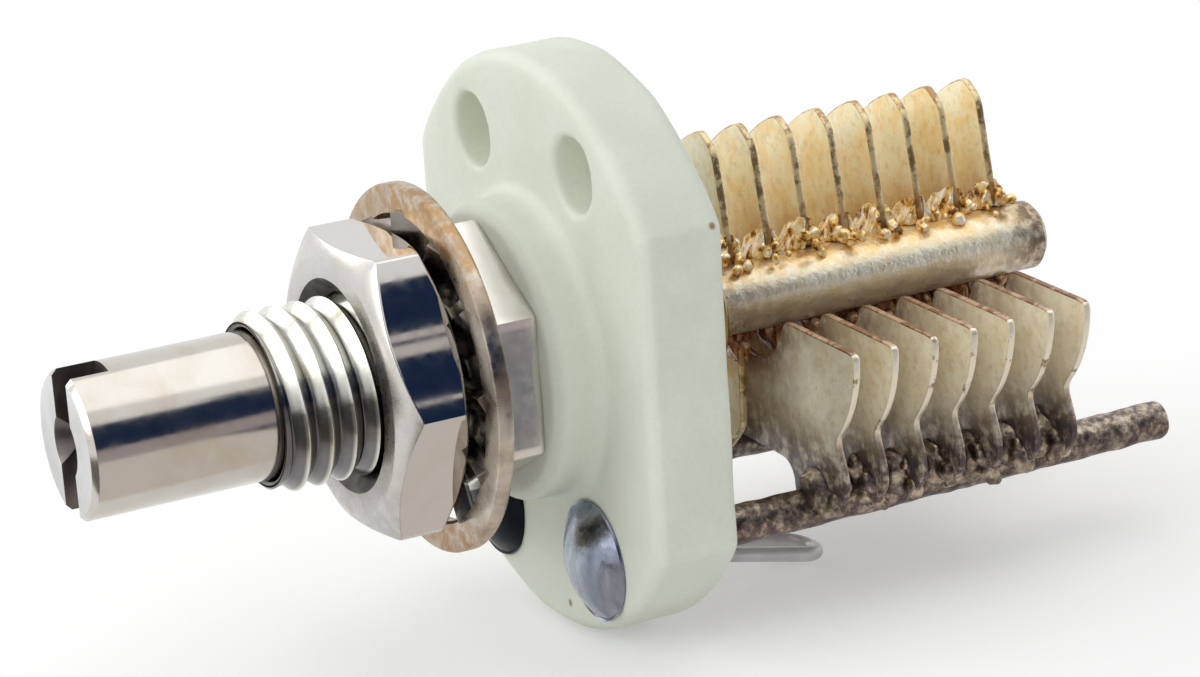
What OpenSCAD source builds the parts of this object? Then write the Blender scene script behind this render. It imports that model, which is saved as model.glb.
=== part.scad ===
// Small air variable capacitor for one-hole panel mounting.
// A slotted shaft turns eight plates between seven fixed ones, all behind a ceramic base.
// Millimetres. Y runs along the shaft, from the knob end (-) to the plates (+), with 0 at
// the front face of the bushing's hexagon. Z is up and X is to the right, seen from the knob.

/* [Shaft] */
// Diameter of the knob end
shaft_d = 4.76; // [4.4:0.02:5]
// How far the knob end stands out in front of the bushing
shaft_reach = 6.15; // [4:0.05:20]
// Chamfer round the knob end
shaft_chamfer = 0.18; // [0.05:0.01:0.4]
// Width of the screwdriver slot
slot_w = 1.25; // [0.8:0.05:1.6]
// Depth of the screwdriver slot
slot_depth = 1.4; // [0.8:0.05:2.5]
// Mouth of the centre hole in the shaft end
centre_d = 2; // [1.7:0.05:2.6]
// Depth of the grease relief round the shaft, just inside the bushing's mouth
relief_depth = 0.18; // [0.16:0.01:0.3]
// Length of the grease relief
relief_len = 1; // [0.8:0.1:2]
// Diameter of the thin rear spindle that carries the rotor plates
spindle_d = 2.34; // [2:0.02:2.6]
// How far the spindle stands out behind the last rotor plate
spindle_tail = 1.3; // [0.8:0.02:3]

/* [Bushing] */
// Outside diameter of the thread
thread_d = 5.82; // [5.7:0.02:6.2]
// Length of the thread in front of the hexagon
thread_len = 6.4; // [5.4:0.05:9]
// Chamfer of the thread's front end
thread_chamfer = 0.3; // [0.1:0.02:0.4]
// Width of the hexagon across its flats
flange_af = 7.8; // [7.2:0.05:8.4]
// Thickness of the hexagon
flange_t = 1.7; // [1:0.05:2.5]
// Diameter of the tail that passes through the ceramic base
tail_d = 6; // [5.6:0.05:6.6]
// Diameter of the spun lip behind the ceramic base
lip_d = 7.4; // [7.2:0.05:8]
// Thickness of the spun lip
lip_t = 0.4; // [0.25:0.05:0.8]
// Length of the narrow rear bearing inside the tail
rear_bearing = 2.2; // [1.2:0.1:3]

/* [Nut and washer] */
// Width of the nut across its flats
nut_af = 9.1; // [8:0.05:9.6]
// Thickness of the nut
nut_t = 2.38; // [1.6:0.02:2.6]
// Gap between the nut and the washer's rim
nut_gap = 0.29; // [0.28:0.01:0.6]
// Turn of the nut's first corner, clockwise from the top
nut_turn = 29; // [0:0.5:60]
// How far inside the flats the nut's front chamfer starts
nut_front_cut = 0.35; // [0.1:0.05:0.6]
// How far inside the flats the nut's rear chamfer starts
nut_rear_cut = 0.1; // [0.05:0.05:0.6]
// Slope of the nut's chamfers
nut_chamfer_angle = 27; // [15:1:40]
// Depth of the countersinks at the nut's bore
nut_sink = 0.5; // [0.1:0.05:0.7]
// Outside diameter of the lock washer
washer_d = 11.96; // [11:0.05:13]
// Inside diameter of the lock washer's rim
rim_d = 9.9; // [9:0.05:10.4]
// Thickness of the lock washer's sheet
washer_t = 0.55; // [0.4:0.05:0.8]
// Number of inner teeth on the lock washer
teeth = 12; // [8:1:14]
// Width of one tooth
tooth_w = 1.3; // [1:0.05:1.5]
// Twist of each tooth out of the rim's plane
tooth_twist = 28; // [10:1:35]
// Circle that the tooth tips reach
tooth_tip_d = 6.6; // [6.4:0.05:7.2]

/* [Ceramic base] */
// Diameter of the round ends
base_d = 19.05; // [18:0.05:21]
// Width across the two flat sides
base_w = 15.88; // [14.6:0.02:17]
// Thickness of the base
base_t = 2.95; // [2.2:0.05:4]
// Chamfer of the base's edges
base_chamfer = 0.3; // [0.1:0.02:0.5]
// Diameter of the raised round hub
hub_d = 9.8; // [9:0.05:10.4]
// Height of the hub in front of the base
hub_h = 1.65; // [1:0.05:3]
// Diameter of the four holes
hole_d = 2.45; // [2.2:0.05:2.7]
// Spacing of the holes from side to side
hole_span_x = 7.14; // [6.8:0.02:7.6]
// Spacing of the holes up and down
hole_span_z = 12.7; // [12.4:0.05:13.2]

/* [Plates] */
// Distance between one rotor plate and the next
pitch = 1.466; // [1.4:0.01:1.9]
// Thickness of every plate
plate_t = 0.25; // [0.2:0.01:0.35]
// Space between the ceramic base and the first rotor plate
first_gap = 4.36; // [4.2:0.02:5]
// Radius of the rotor plates
rotor_r = 5.67; // [5:0.01:5.8]
// Lean of a rotor plate's upper straight edge, away from vertical
upper_lean = 13.5; // [0:0.5:25]
// Lean of a rotor plate's lower straight edge, away from vertical
lower_lean = 0; // [-6:0.5:16]
// How far the rotor plates reach past the middle of the spindle
edge_past = 0.3; // [0.1:0.02:0.5]
// Corner cut from each rotor plate's upper tip
tip_cut = 0.45; // [0.1:0.01:0.6]
// Corner cut from each rotor plate's lower tip
heel_cut = 0.9; // [0.3:0.02:1.1]
// Radius of a stator plate's round sides
wing_r = 4.4; // [4.2:0.01:4.6]
// Distance of each round side's centre from the middle
wing_x = 2.2; // [2:0.01:2.4]
// Drop of the stator plates' top edge below the shaft's middle
stator_drop = 0.35; // [0.2:0.01:0.8]
// Radius of the stator plates' notch round the spindle
notch_r = 2.1; // [1.9:0.01:2.4]
// Depth of the waist below the shaft's middle
waist_z = 3.65; // [3.4:0.01:3.9]
// Half width of a stator plate over its feet
foot_x = 5.62; // [5.3:0.01:5.9]
// Rise from the waist to the widest part of a foot
foot_flare = 1.15; // [0.9:0.05:1.3]
// How far the feet reach below the middle of the rods
foot_drop = 0.15; // [0.05:0.05:0.4]
// How far a foot's lower edge reaches beyond the middle of its rod
foot_toe = 1.05; // [0.8:0.05:1.3]
// Height of the cut at a foot's outer corner
foot_corner = 1; // [0.6:0.05:1.2]
// Half width of the open arch between the feet
arch_x = 2.35; // [2:0.01:2.6]
// Depth of the arch's top below the shaft's middle
arch_z = 5.2; // [4.8:0.01:5.4]
// Cut at the arch's upper corners
arch_corner = 0.42; // [0.2:0.02:0.6]

/* [Stator rods] */
// Diameter of the rods
rod_d = 1.3; // [1:0.02:1.6]
// How far the rods stand out behind the last stator plate
rod_tail = 4.73; // [1:0.05:8]
// Diameter of the domed heads
head_d = 4; // [3.2:0.05:4.2]
// Height of the domed heads
head_h = 0.85; // [0.5:0.05:1.2]
// Diameter of the swaged ring behind the base
swage_d = 3; // [2.8:0.05:3.4]
// Thickness of the swaged ring
swage_t = 0.45; // [0.3:0.05:0.8]

/* [Rotor contact] */
// Diameter of the collar on the spindle
collar_d = 4.4; // [3.6:0.05:5]
// Thickness of the collar
collar_t = 0.9; // [0.5:0.05:1.2]
// Diameter of the bowed contact washer
spring_d = 6.4; // [6:0.05:7]
// Height of the contact washer's bow
spring_bow = 0.9; // [0.5:0.05:1.1]
// Sheet thickness of the contact washer
spring_t = 0.25; // [0.15:0.01:0.3]
// Diameter of the terminal's wire
wire_d = 0.52; // [0.4:0.02:0.6]
// Distance between the middles of the terminal's two wires
wire_span = 1.6; // [1.4:0.05:2.6]
// Length of the terminal's loop behind the base
loop_len = 7.1; // [4:0.1:9]
// Droop of the terminal's loop
loop_droop = 13; // [0:0.5:15]
// Depth of the terminal's bend below the shaft's middle
bend_z = 8.05; // [7.8:0.05:8.6]

/* [Solder] */
// Radius of the solder round the spindle at a rotor plate
rotor_fillet_r = 2.2; // [1.8:0.05:2.4]
// Run of the solder along the spindle
rotor_fillet_run = 0.42; // [0.2:0.01:0.5]
// Radius of the solder at a stator foot
stator_fillet_r = 0.85; // [0.6:0.05:0.95]
// Run of the solder along a stator rod
stator_fillet_run = 0.48; // [0.2:0.01:0.55]

/* [Fits] */
// Radial clearance of the shaft and the spindle in the bushing
run_clear = 0.03; // [0.015:0.005:0.08]
// Radial clearance round the tail and the rods in the ceramic
seat_clear = 0.05; // [0.02:0.01:0.1]
// Radial clearance of the nut round the thread
thread_clear = 0.03; // [0.02:0.01:0.08]
// End play of the shaft's shoulder in the bushing
end_play = 0.1; // [0.05:0.01:0.3]
// Radial clearance of the contact washer round the spindle
spring_clear = 0.45; // [0.2:0.05:0.8]
// Gap between the contact washer's crown and the collar
spring_gap = 0.15; // [0.1:0.01:0.3]

/* [Hidden] */

ROTORS = 8;
STATORS = ROTORS - 1;
$fn = 96;

bushing_front = -thread_len;
shaft_front = bushing_front - shaft_reach;
base_front = flange_t + hub_h;
base_rear = base_front + base_t;
lip_front = base_rear + wire_d;
lip_rear = lip_front + lip_t;
shoulder_y = lip_rear - rear_bearing;
relief_front = bushing_front + 0.1;
bow_r = (pow(spring_d / 2, 2) + pow(spring_bow, 2)) / (2 * spring_bow);
crown_y = lip_rear + spring_t + spring_bow;
collar_front = crown_y + spring_gap;
rod_x = hole_span_x / 2;
rod_z = hole_span_z / 2;
blob_x = rod_x + 0.28;
blob_z = rod_z - 0.6;
waist_x = wing_x + sqrt(pow(wing_r, 2) - pow(waist_z - stator_drop, 2));
// How far joined shapes run into each other
lap = 0.1;

// Front face of a rotor plate and of a stator plate, counted from 0
function rotor_y(i) = base_rear + first_gap + i * pitch;
function stator_y(i) = rotor_y(i) + pitch / 2;

spindle_end = rotor_y(ROTORS - 1) + plate_t + spindle_tail;
rod_end = stator_y(STATORS - 1) + plate_t + rod_tail;

// A solid of revolution about the shaft's line, from points [radius, y]
module turned(points) {
    rotate([-90, 0, 0]) rotate_extrude() polygon(points);
}

// A round bar along Y
module bar(d, y0, y1, x = 0, z = 0) {
    translate([x, y0, z]) rotate([-90, 0, 0]) cylinder(d = d, h = y1 - y0);
}

// A tapered bar along Y
module taper(r0, r1, y0, y1, x = 0, z = 0) {
    translate([x, y0, z]) rotate([-90, 0, 0]) cylinder(r1 = r0, r2 = r1, h = y1 - y0);
}

// A sheet in the XZ plane, with its front face at y0
module sheet(y0, t) {
    translate([0, y0 + t, 0]) rotate([90, 0, 0]) linear_extrude(t) children();
}

// A hexagonal prism along Y, with a corner at the given turn from the top
module hexagon(af, y0, t, turn) {
    translate([0, y0, 0]) rotate([-90, 0, 0]) rotate([0, 0, turn - 90])
        cylinder(d = af / cos(30), h = t, $fn = 6);
}

module ceramic_base() {
    w = base_w / 2;
    c = base_chamfer;
    bore = tail_d / 2 + seat_clear;
    color("#e1e2d2")
    difference() {
        intersection() {
            turned([
                [bore, flange_t], [hub_d / 2 - 0.35, flange_t], [hub_d / 2, flange_t + 0.35],
                [hub_d / 2, base_front - 0.3], [hub_d / 2 + 0.3, base_front],
                [base_d / 2 - c, base_front], [base_d / 2, base_front + c],
                [base_d / 2, base_rear - c], [base_d / 2 - c, base_rear], [bore, base_rear]
            ]);
            // the two flat sides, with their chamfers
            translate([0, 0, -base_d]) linear_extrude(2 * base_d) polygon([
                [-w + c, 0], [w - c, 0], [w - c, base_front], [w, base_front + c],
                [w, base_rear - c], [w - c, base_rear], [-w + c, base_rear],
                [-w, base_rear - c], [-w, base_front + c], [-w + c, base_front]
            ]);
        }
        for (x = [-rod_x, rod_x], z = [-rod_z, rod_z])
            bar(hole_d, base_front - 1, base_rear + 1, x, z);
    }
}

module bushing() {
    r = thread_d / 2;
    wide = shaft_d / 2 + run_clear;
    narrow = spindle_d / 2 + run_clear;
    color("#cfc8bd")
    union() {
        turned([
            [wide + 0.2, bushing_front], [r - thread_chamfer, bushing_front],
            [r, bushing_front + thread_chamfer], [r, 0.2], [tail_d / 2, 0.2],
            [tail_d / 2, lip_front], [lip_d / 2, lip_front], [lip_d / 2, lip_rear - 0.1],
            [lip_d / 2 - 0.1, lip_rear], [narrow, lip_rear], [narrow, shoulder_y],
            [wide, shoulder_y], [wide, bushing_front + 0.4]
        ]);
        difference() {
            hexagon(flange_af, 0, flange_t, 0);
            bar(2 * wide + 0.2, -1, flange_t + 1);
        }
    }
}

module panel_nut() {
    y0 = -washer_mid() - washer_t / 2 - nut_gap - nut_t;
    bore = thread_d / 2 + thread_clear;
    y1 = y0 + nut_t;
    flat = nut_af / 2;
    outer = nut_af / 2 / cos(30) + 0.05;
    slope = tan(nut_chamfer_angle);
    color("#d2ccc2")
    difference() {
        intersection() {
            hexagon(nut_af, y0, nut_t, nut_turn);
            turned([
                [0, y0], [flat - nut_front_cut, y0],
                [outer, y0 + (outer - flat + nut_front_cut) * slope],
                [outer, y1 - (outer - flat + nut_rear_cut) * slope],
                [flat - nut_rear_cut, y1], [0, y1]
            ]);
        }
        bar(2 * bore, y0 - 1, y1 + 1);
        taper(bore + nut_sink, bore, y0, y0 + nut_sink);
        taper(bore, bore + nut_sink, y1 - nut_sink, y1);
    }
}

// Distance of the washer's middle plane in front of the hexagon, with the teeth touching it
function washer_mid() = tooth_w / 2 * sin(tooth_twist) + washer_t / 2 * cos(tooth_twist);

module lock_washer() {
    mid = -washer_mid();
    tip = tooth_tip_d / 2;
    color("#b59b6c")
    union() {
        turned([
            [rim_d / 2, mid - washer_t / 2], [washer_d / 2, mid - washer_t / 2],
            [washer_d / 2, mid + washer_t / 2], [rim_d / 2, mid + washer_t / 2]
        ]);
        for (i = [0 : teeth - 1])
            rotate([0, i * 360 / teeth, 0]) translate([tip, mid, 0]) rotate([tooth_twist, 0, 0])
                translate([0, -washer_t / 2, -tooth_w / 2])
                    cube([rim_d / 2 + 0.2 - tip, washer_t, tooth_w]);
    }
}

module rotor_shaft() {
    r = shaft_d / 2;
    s = spindle_d / 2;
    color("#d8d0c4")
    difference() {
        turned([
            [0, shaft_front], [r - shaft_chamfer, shaft_front], [r, shaft_front + shaft_chamfer],
            [r, relief_front], [r - relief_depth, relief_front],
            [r - relief_depth, relief_front + relief_len], [r, relief_front + relief_len],
            [r, shoulder_y - end_play], [s, shoulder_y - end_play],
            [s, spindle_end - 0.2], [s - 0.2, spindle_end], [0, spindle_end]
        ]);
        translate([-slot_w / 2, shaft_front - 1, -shaft_d])
            cube([slot_w, slot_depth + 1, 2 * shaft_d]);
        taper(centre_d / 2 + 1 / sqrt(3), 0, shaft_front - 1, shaft_front + centre_d / 2 * sqrt(3));
    }
}

// Outline of a rotor plate, with its blade on the -X side
module rotor_outline() {
    big = 2 * rotor_r;
    difference() {
        intersection() {
            circle(rotor_r);
            polygon([
                [edge_past, 0],
                [edge_past - big * sin(upper_lean), big * cos(upper_lean)],
                [-2 * big, big], [-2 * big, -big],
                [edge_past + big * sin(lower_lean), -big * cos(lower_lean)]
            ]);
        }
        circle(d = spindle_d);
        // the tips' cut corners
        translate([edge_past - rotor_r * sin(upper_lean), rotor_r * cos(upper_lean)])
            rotate(upper_lean) rotate(45) square(2 * tip_cut, center = true);
        translate([edge_past + rotor_r * sin(lower_lean), -rotor_r * cos(lower_lean)])
            rotate(lower_lean) rotate(45) square(2 * heel_cut, center = true);
    }
}

module rotor_plate(i) {
    color("#cdb987") sheet(rotor_y(i), plate_t) rotor_outline();
}

// Solder on both faces of every rotor plate, on the blade's side of the spindle
module rotor_solder() {
    r0 = spindle_d / 2 + 0.08;
    color("#c9a35c")
    difference() {
        intersection() {
            for (i = [0 : ROTORS - 1]) {
                taper(r0, rotor_fillet_r, rotor_y(i) - rotor_fillet_run, rotor_y(i));
                taper(rotor_fillet_r, r0, rotor_y(i) + plate_t,
                      rotor_y(i) + plate_t + rotor_fillet_run);
            }
            rotate([0, -(upper_lean + lower_lean) / 2, 0])
                translate([-3 * rotor_fillet_r, 0, -2 * rotor_fillet_r])
                    cube([3 * rotor_fillet_r + edge_past / 2, 2 * spindle_end, 4 * rotor_fillet_r]);
        }
        bar(spindle_d, 0, 2 * spindle_end);
    }
}

module rotor_collar() {
    color("#b9a070")
    turned([
        [spindle_d / 2, collar_front], [collar_d / 2 - 0.1, collar_front],
        [collar_d / 2, collar_front + 0.1], [collar_d / 2, collar_front + collar_t - 0.1],
        [collar_d / 2 - 0.1, collar_front + collar_t], [spindle_d / 2, collar_front + collar_t]
    ]);
}

// A washer bowed about Z: its sides bear on the bushing's lip, its crown faces the collar
module contact_spring() {
    color("#b5743c")
    intersection() {
        difference() {
            translate([0, crown_y - bow_r, -spring_d]) cylinder(r = bow_r, h = 2 * spring_d);
            translate([0, crown_y - bow_r, -spring_d]) cylinder(r = bow_r - spring_t, h = 2 * spring_d);
        }
        difference() {
            bar(spring_d, lip_rear, crown_y + 1);
            bar(spindle_d + 2 * spring_clear, lip_rear - 1, crown_y + 2);
        }
    }
}

// A wire looped round the bushing's tail under the lip, bent back into a hairpin loop
module rotor_terminal() {
    y = base_rear + wire_d / 2;
    ring_r = tail_d / 2 + seat_clear + wire_d / 2;
    bend = 2 * wire_d;
    half = wire_span / 2;
    color("#b8b6b8")
    union() {
        translate([0, y, 0]) rotate([-90, 0, 0]) rotate_extrude() translate([ring_r, 0]) circle(d = wire_d);
        for (x = [-half, half]) {
            translate([x, y, -bend_z + bend]) cylinder(d = wire_d, h = bend_z - bend - ring_r);
            translate([x, y + bend, -bend_z + bend]) rotate([0, 0, 90]) rotate([90, 0, 0])
                rotate([0, 0, 180]) rotate_extrude(angle = 90 + loop_droop) translate([bend, 0]) circle(d = wire_d);
        }
        translate([0, y + bend, -bend_z + bend]) rotate([-loop_droop, 0, 0]) translate([0, 0, -bend]) {
            for (x = [-half, half])
                translate([x, 0, 0]) rotate([-90, 0, 0]) cylinder(d = wire_d, h = loop_len - bend - half);
            translate([0, loop_len - bend - half, 0]) rotate_extrude(angle = 180) translate([half, 0]) circle(d = wire_d);
        }
    }
}

// A rod with a domed head in front of the base and a swaged ring behind it
module stator_rod(side) {
    dome_r = (pow(head_d / 2, 2) + pow(head_h, 2)) / (2 * head_h);
    x = side * rod_x;
    z = -rod_z;
    color("#5c5450")
    union() {
        intersection() {
            translate([x, base_front - head_h + dome_r, z]) sphere(dome_r);
            bar(head_d, base_front - 2 * head_h, base_front, x, z);
        }
        bar(hole_d - 2 * seat_clear, base_front - 0.1, base_rear + 0.1, x, z);
        bar(swage_d, base_rear, base_rear + swage_t, x, z);
        bar(rod_d, base_rear, rod_end - 0.15, x, z);
        taper(rod_d / 2, rod_d / 2 - 0.15, rod_end - 0.15, rod_end, x, z);
    }
}

// Right half of a stator plate's foot, from the waist down to the rod
module stator_foot() {
    bottom = -rod_z - foot_drop;
    difference() {
        polygon([
            [arch_x, bottom], [rod_x + foot_toe, bottom], [foot_x, bottom + foot_corner],
            [foot_x, -waist_z - foot_flare], [waist_x, -waist_z],
            [arch_x, -waist_z + waist_x - arch_x]
        ]);
        translate([rod_x, -rod_z]) circle(d = rod_d);
    }
}

// Outline of a stator plate: two wings with a waist, and two feet on the rods
module stator_outline() {
    difference() {
        union() {
            intersection() {
                union() {
                    translate([wing_x, -stator_drop]) circle(wing_r);
                    translate([-wing_x, -stator_drop]) circle(wing_r);
                    translate([-arch_x - lap, -arch_z - arch_corner]) square([2 * (arch_x + lap), arch_z]);
                }
                translate([-2 * wing_r, -stator_drop - 2 * wing_r]) square([4 * wing_r, 2 * wing_r]);
            }
            stator_foot();
            mirror([1, 0, 0]) stator_foot();
        }
        circle(notch_r);
        polygon([
            [-arch_x, -2 * rod_z], [arch_x, -2 * rod_z], [arch_x, -arch_z - arch_corner],
            [arch_x - arch_corner, -arch_z], [arch_corner - arch_x, -arch_z], [-arch_x, -arch_z - arch_corner]
        ]);
    }
}

module stator_plate(i) {
    color("#bfb08c") sheet(stator_y(i), plate_t) stator_outline();
}

// Solder on both faces of every stator foot, above and outside one rod
module stator_solder(side) {
    r1 = stator_fillet_r - 0.25;
    x = side * blob_x;
    color("#8a8272")
    difference() {
        for (i = [0 : STATORS - 1]) {
            taper(r1, stator_fillet_r, stator_y(i) - stator_fillet_run, stator_y(i), x, -blob_z);
            taper(stator_fillet_r, r1, stator_y(i) + plate_t,
                  stator_y(i) + plate_t + stator_fillet_run, x, -blob_z);
        }
        bar(rod_d, base_rear, 2 * rod_end, side * rod_x, -rod_z);
    }
}

ceramic_base();
bushing();
panel_nut();
lock_washer();
rotor_shaft();
rotor_plate(0);  // rotor_plate_1
rotor_plate(1);  // rotor_plate_2
rotor_plate(2);  // rotor_plate_3
rotor_plate(3);  // rotor_plate_4
rotor_plate(4);  // rotor_plate_5
rotor_plate(5);  // rotor_plate_6
rotor_plate(6);  // rotor_plate_7
rotor_plate(7);  // rotor_plate_8
rotor_solder();
rotor_collar();
contact_spring();
rotor_terminal();
stator_rod(1);  // stator_rod_near
stator_rod(-1);  // stator_rod_far
stator_plate(0);  // stator_plate_1
stator_plate(1);  // stator_plate_2
stator_plate(2);  // stator_plate_3
stator_plate(3);  // stator_plate_4
stator_plate(4);  // stator_plate_5
stator_plate(5);  // stator_plate_6
stator_plate(6);  // stator_plate_7
stator_solder(1);  // stator_solder_near
stator_solder(-1);  // stator_solder_far
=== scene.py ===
"""Looks of a small air variable capacitor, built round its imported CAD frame.

Metres, in the CAD frame: Y runs along the shaft from the knob end, Z is up.
Shapes are worked out in millimetres and scaled when they become objects.
"""
import math
import random

import bmesh
import bpy
from mathutils import Matrix, Vector, noise


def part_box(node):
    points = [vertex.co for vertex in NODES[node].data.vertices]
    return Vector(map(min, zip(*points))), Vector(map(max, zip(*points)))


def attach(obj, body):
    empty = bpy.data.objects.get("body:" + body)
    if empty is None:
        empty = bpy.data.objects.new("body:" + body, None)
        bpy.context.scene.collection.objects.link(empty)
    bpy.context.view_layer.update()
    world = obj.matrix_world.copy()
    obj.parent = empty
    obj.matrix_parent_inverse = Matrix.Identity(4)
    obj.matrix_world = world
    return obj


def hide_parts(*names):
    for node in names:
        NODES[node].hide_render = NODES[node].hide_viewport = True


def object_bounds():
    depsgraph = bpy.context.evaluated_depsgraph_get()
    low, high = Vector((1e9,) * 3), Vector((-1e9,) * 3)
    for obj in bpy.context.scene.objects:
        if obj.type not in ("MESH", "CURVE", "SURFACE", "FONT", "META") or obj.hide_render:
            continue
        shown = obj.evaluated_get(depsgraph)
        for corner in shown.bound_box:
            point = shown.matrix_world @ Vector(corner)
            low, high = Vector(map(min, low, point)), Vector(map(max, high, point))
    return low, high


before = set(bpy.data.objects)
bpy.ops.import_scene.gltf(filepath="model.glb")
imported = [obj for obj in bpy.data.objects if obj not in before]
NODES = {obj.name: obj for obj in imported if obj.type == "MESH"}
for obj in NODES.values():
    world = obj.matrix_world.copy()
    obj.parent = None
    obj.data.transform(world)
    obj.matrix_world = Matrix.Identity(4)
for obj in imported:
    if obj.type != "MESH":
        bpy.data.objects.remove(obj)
cad_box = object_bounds()

MM = 0.001
TURN = 2 * math.pi

CERAMIC_VOXEL = 0.115
SOLDER_VOXEL = 0.065
OUTLINE_STEP = 0.09
OUTLINE_ROUNDS = 14
BUSHING_STEPS = 192
THREAD_STEPS = 160
NUT_STEPS = 360
ROD_STEPS = 150
WELD = 2e-4                # points closer than this many millimetres become one


# ---------------------------------------------------------------- sizes, in millimetres

def box_mm(node):
    low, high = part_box(node)
    return low / MM, high / MM


BASE = box_mm("ceramic_base")
BUSHING = box_mm("bushing")
NUT = box_mm("panel_nut")
WASHER = box_mm("lock_washer")
SHAFT = box_mm("rotor_shaft")
REAR = SHAFT[1].y          # rear end of the spindle
ROTORS = [box_mm(f"rotor_plate_{i}") for i in range(1, 9)]
STATORS = [box_mm(f"stator_plate_{i}") for i in range(1, 8)]

BASE_FRONT = 3.35          # front face of the ceramic disc
BASE_REAR = BASE[1].y
SPECKS = (((7.94, 5.87, 5.33), 0.17), ((1.4, 3.35, -8.55), 0.16))  # place and size of each

THREAD_R = 2.91            # outside of the thread
THREAD_DEPTH = 0.34
THREAD_PITCH = 0.79
# a turn of the thread as (share of the pitch, share of the depth): root, flank, crest, flank
THREAD_PROFILE = ((-0.03, 0.10), (0.02, 0.02), (0.06, 0.02), (0.10, 0.09), (0.14, 0.17), (0.47, 0.87),
                  (0.50, 0.94), (0.53, 1), (0.56, 1), (0.59, 0.95), (0.63, 0.87), (0.93, 0.20))
BORE_R = 2.41              # the bushing's wide bore, round the shaft
NARROW_R = 1.2             # its narrow bore, round the spindle
NOSE_R = BORE_R + 0.22     # outside of its front face, where the thread's chamfer starts
CHAMFER_RISE = 1.1         # of that chamfer, for each millimetre along Y
HEX_FRONT = 0.0            # front face of the bushing's hexagon
HEX_REAR = 1.7
HEX_AF = BUSHING[1].x * 2  # across flats
CORNER_CUT = 0.027         # taken off the hexagons' corners
TAIL_R = 3.0               # the part that goes through the base
LIP_FRONT = 6.82           # the lip that is spun over behind the base
LIP_R = 3.7

SHAFT_R = 2.38             # knob end of the shaft
SLOT_DEPTH = 1.4           # depth of the screwdriver slot
SHOULDER_Y = 4.92          # where the shaft steps down to the spindle
SPINDLE_R = 1.17

NUT_TURN = math.radians(29)
NUT_AF = 9.1
NUT_PLAY = 0.035           # between the thread and the nut's bore
NUT_SINK = 0.5             # depth of the countersinks at the nut's bore
NUT_CHAMFER = math.tan(math.radians(27))

RIM_INNER = 4.95           # the lock washer's rim
RIM_OUTER = 5.98
WASHER_T = 0.55
TOOTH_COUNT = 12
TOOTH_W = 1.3
TOOTH_TIP = 3.3            # radius at the teeth's tips
TOOTH_TWIST = math.radians(28)

ROD_R = 0.65               # the rods' tails
NECK_R = 1.17              # their necks, in the base's holes
ROD_X = 3.57
ROD_Z = -6.35
HEAD_R = 2.0
HEAD_H = 0.85
SWAGE_R = 1.5              # the swaged ring behind the base
SWAGE_T = 0.45
SOLDER_REACH = 2.15        # radius that the rotor's solder keeps within, before its last lumps


# ---------------------------------------------------------------- shader building

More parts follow.
